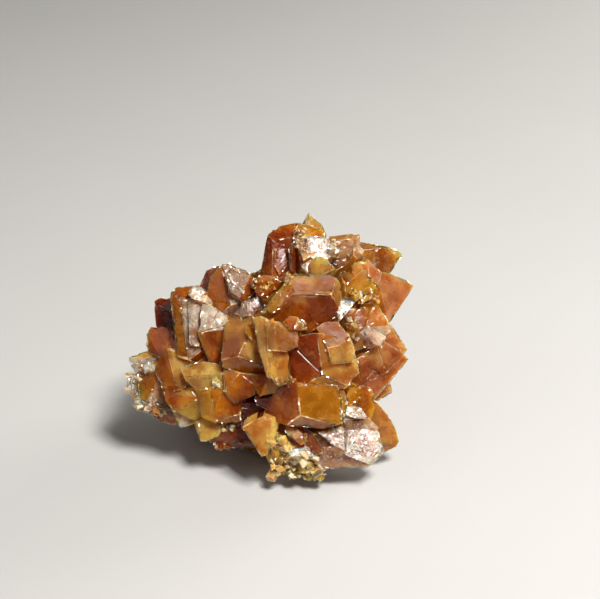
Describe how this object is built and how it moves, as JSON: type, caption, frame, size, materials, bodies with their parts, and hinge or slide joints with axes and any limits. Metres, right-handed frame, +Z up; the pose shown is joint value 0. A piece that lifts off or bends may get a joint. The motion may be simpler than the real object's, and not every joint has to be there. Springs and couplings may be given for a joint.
{
  "type": "calcite crystal cluster",
  "caption": "Honey-orange calcite cluster: blocky and bladed see-through crystals grown together, cut flat below to stand on a shelf or in a display.",
  "frame": {"origin": "on the flat foot's plane, under the middle of the cluster's box", "axes": "+X along the width, to the right of someone who looks at the showing side; -Y towards that side; +Z up, away from the flat foot"},
  "size_m": [0.0598, 0.0476, 0.0469],
  "materials": {
    "honey_calcite": "glossy, part see-through honey-orange calcite with frosted faces"
  },
  "bodies": {
    "root": {"calcite_cluster": "honey_calcite"}
  },
  "joints": []
}
